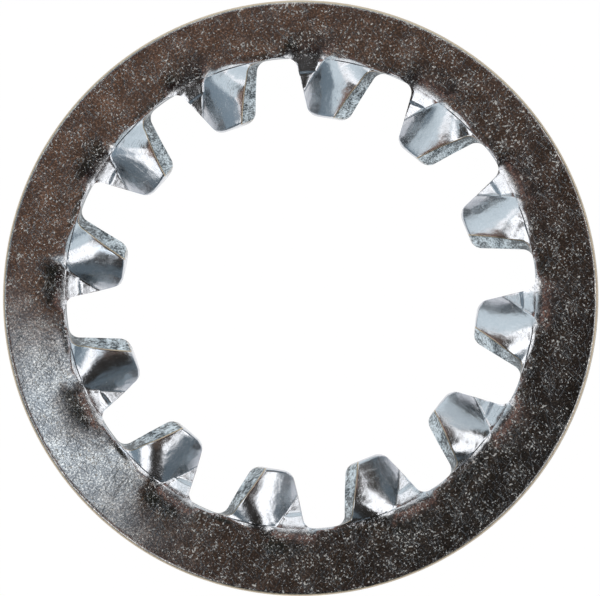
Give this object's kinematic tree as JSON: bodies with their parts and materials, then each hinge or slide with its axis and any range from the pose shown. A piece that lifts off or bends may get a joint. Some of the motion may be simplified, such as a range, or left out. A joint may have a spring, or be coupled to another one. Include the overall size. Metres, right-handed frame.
{
  "type": "toothed lock washer",
  "caption": "Flat spring-steel ring with twisted teeth pointing into its hole, which bite into a bolt head and the surface beneath so that the bolt can't turn back.",
  "frame": {"origin": "centre of the hole on the ring's middle plane", "axes": "+Z along the hole, towards the face with the rolled rim edge; +X along the centre line of one tooth"},
  "size_m": [0.0225, 0.0225, 0.0022],
  "materials": {
    "zinc_plated_steel": "bright zinc plating over stamped spring steel, finely pitted"
  },
  "bodies": {
    "root": {"lock_washer": "zinc_plated_steel"}
  },
  "joints": []
}
